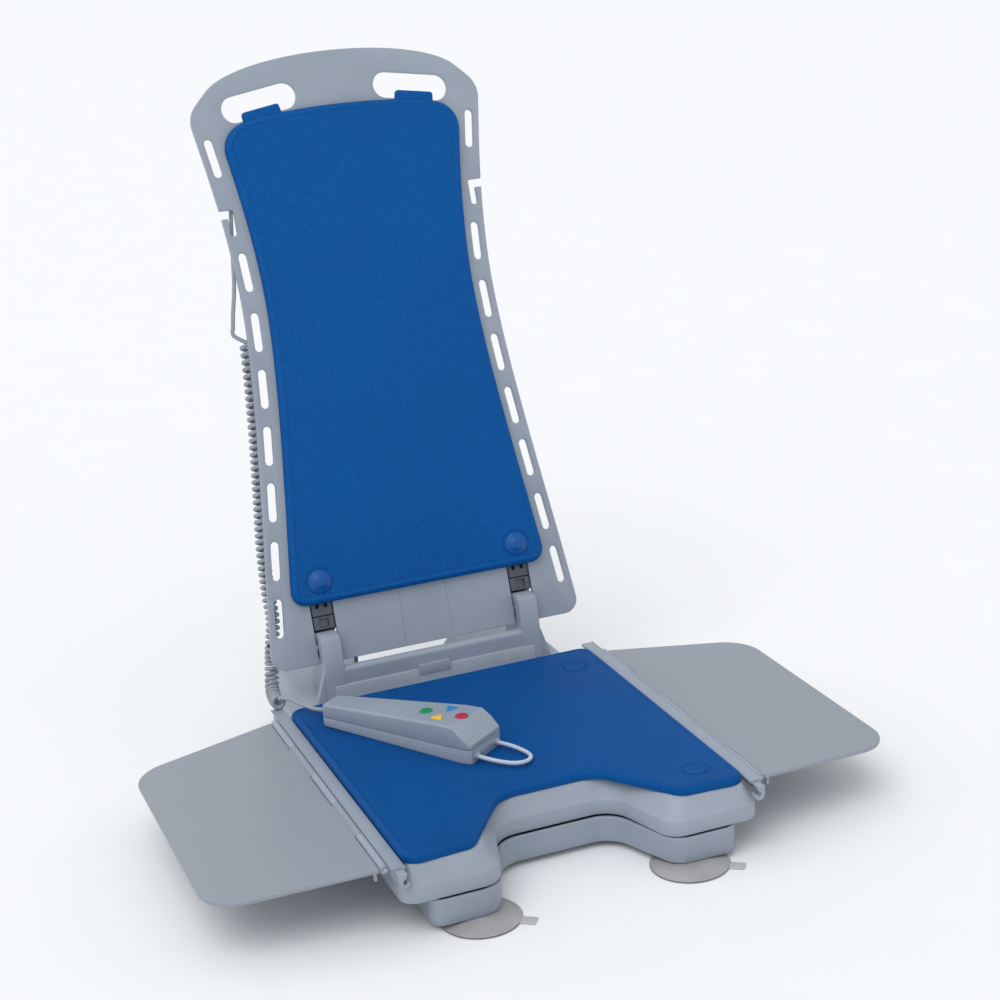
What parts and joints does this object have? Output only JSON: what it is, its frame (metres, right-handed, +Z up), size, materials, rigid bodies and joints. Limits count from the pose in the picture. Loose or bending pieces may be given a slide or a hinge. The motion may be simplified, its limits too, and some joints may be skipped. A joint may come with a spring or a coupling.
{
  "type": "reclining bath lift",
  "caption": "Battery bath lift: scissor base on suction cups, notched padded seat with side flaps, hinged backrest with side slots, and a corded handset.",
  "frame": {"origin": "on the floor, under the middle of the object's box", "axes": "+Z up, -Y the way the sitter faces, +X to the sitter's left"},
  "size_m": [0.7116, 0.6479, 0.7375],
  "materials": {
    "grey_plastic": "moulded grey polypropylene, fine satin grain",
    "flap_plastic": "thin moulded grey sheet, satin",
    "dark_plastic": "dark grey moulding",
    "blue_vinyl": "blue closed-cell pad with a pebbled vinyl skin",
    "steel": "stainless bar and pins",
    "cup_rubber": "grey translucent soft rubber",
    "cord_grey": "grey polyurethane cord jacket",
    "loop_grey": "pale blue-grey plastic loop",
    "key_green": "green key",
    "key_yellow": "yellow key",
    "key_blue": "blue key",
    "key_red": "red key"
  },
  "bodies": {
    "base": {"base_tray": "grey_plastic", "suction_cup_front_l": "cup_rubber", "suction_cup_front_r": "cup_rubber", "suction_cup_rear_l": "cup_rubber", "suction_cup_rear_r": "cup_rubber"},
    "arm_a": {"arm_a_l": "steel", "arm_a_r": "steel", "arm_a_rod": "steel", "roller_a_l": "dark_plastic", "roller_a_r": "dark_plastic", "mid_pin_l": "steel", "mid_pin_r": "steel"},
    "arm_b": {"arm_b_l": "steel", "arm_b_r": "steel", "arm_b_rod": "steel", "arm_b_tie": "steel", "roller_b_l": "dark_plastic", "roller_b_r": "dark_plastic"},
    "seat": {"seat_shell": "grey_plastic", "seat_pad": "blue_vinyl", "seat_button_front_l": "blue_vinyl", "seat_button_front_r": "blue_vinyl", "seat_button_rear_l": "blue_vinyl", "seat_button_rear_r": "blue_vinyl", "side_rail_l": "grey_plastic", "side_rail_r": "grey_plastic", "seat_track_l": "steel", "seat_track_r": "steel", "flap_rod_l": "steel", "flap_rod_r": "steel", "drive_unit": "dark_plastic", "drive_screw": "steel", "screw_bearing": "dark_plastic", "seat_label": "grey_plastic", "back_pin_l": "steel", "back_pin_r": "steel", "cord_lead_hand": "cord_grey", "cord_coil_low": "cord_grey", "cord_lead_low": "cord_grey", "cord_plug": "dark_plastic"},
    "flap_left": {"flap_l": "flap_plastic"},
    "flap_right": {"flap_r": "flap_plastic"},
    "backrest": {"back_plate": "grey_plastic", "back_pad": "blue_vinyl", "back_button_l": "blue_vinyl", "back_button_r": "blue_vinyl", "latch_block_l": "dark_plastic", "latch_block_r": "dark_plastic", "latch_clip_l": "dark_plastic", "latch_clip_r": "dark_plastic", "cord_coil_high": "cord_grey", "cord_lead_high": "cord_grey"},
    "handset": {"handset_base": "grey_plastic", "handset_top": "grey_plastic", "handset_loop": "loop_grey"},
    "key_green_body": {"key_green": "key_green"},
    "key_yellow_body": {"key_yellow": "key_yellow"},
    "key_blue_body": {"key_blue": "key_blue"},
    "key_red_body": {"key_red": "key_red"}
  },
  "joints": [
    {"name": "lift", "type": "hinge", "parent": "base", "child": "arm_a", "pos_m": [0, 0.215, 0.02], "axis": [-1, 0, 0], "range_deg": [0, 58]},
    {"name": "scissor_cross", "type": "hinge", "parent": "arm_a", "child": "arm_b", "pos_m": [0, -0.01974, 0.031], "axis": [1, 0, 0], "range_deg": [0, 116]},
    {"name": "seat_level", "type": "hinge", "parent": "arm_b", "child": "seat", "pos_m": [0, 0.215, 0.042], "axis": [-1, 0, 0], "range_deg": [0, 58]},
    {"name": "recline", "type": "hinge", "parent": "seat", "child": "backrest", "pos_m": [0, 0.139, 0.122], "axis": [-1, 0, 0], "range_deg": [0, 33]},
    {"name": "flap_left_hinge", "type": "hinge", "parent": "seat", "child": "flap_left", "pos_m": [-0.193, 0, 0.066], "axis": [0, 1, 0], "range_deg": [0, 95]},
    {"name": "flap_right_hinge", "type": "hinge", "parent": "seat", "child": "flap_right", "pos_m": [0.193, 0, 0.066], "axis": [0, -1, 0], "range_deg": [0, 95]},
    {"name": "handset_lift_off", "type": "slide", "parent": "seat", "child": "handset", "axis": [0, 0, 1], "range_m": [0, 0.1]},
    {"name": "key_green_press", "type": "slide", "parent": "handset", "child": "key_green_body", "axis": [0, 0, -1], "range_m": [0, 0.001], "stiffness_N_per_m": 600, "springref_m": -0.0008},
    {"name": "key_yellow_press", "type": "slide", "parent": "handset", "child": "key_yellow_body", "axis": [0, 0, -1], "range_m": [0, 0.001], "stiffness_N_per_m": 600, "springref_m": -0.0008},
    {"name": "key_blue_press", "type": "slide", "parent": "handset", "child": "key_blue_body", "axis": [0, 0, -1], "range_m": [0, 0.001], "stiffness_N_per_m": 600, "springref_m": -0.0008},
    {"name": "key_red_press", "type": "slide", "parent": "handset", "child": "key_red_body", "axis": [0, 0, -1], "range_m": [0, 0.001], "stiffness_N_per_m": 600, "springref_m": -0.0008}
  ],
  "couplings": [
    {"joint": "scissor_cross", "follows": "lift", "ratio": 2},
    {"joint": "seat_level", "follows": "lift", "ratio": 1}
  ]
}
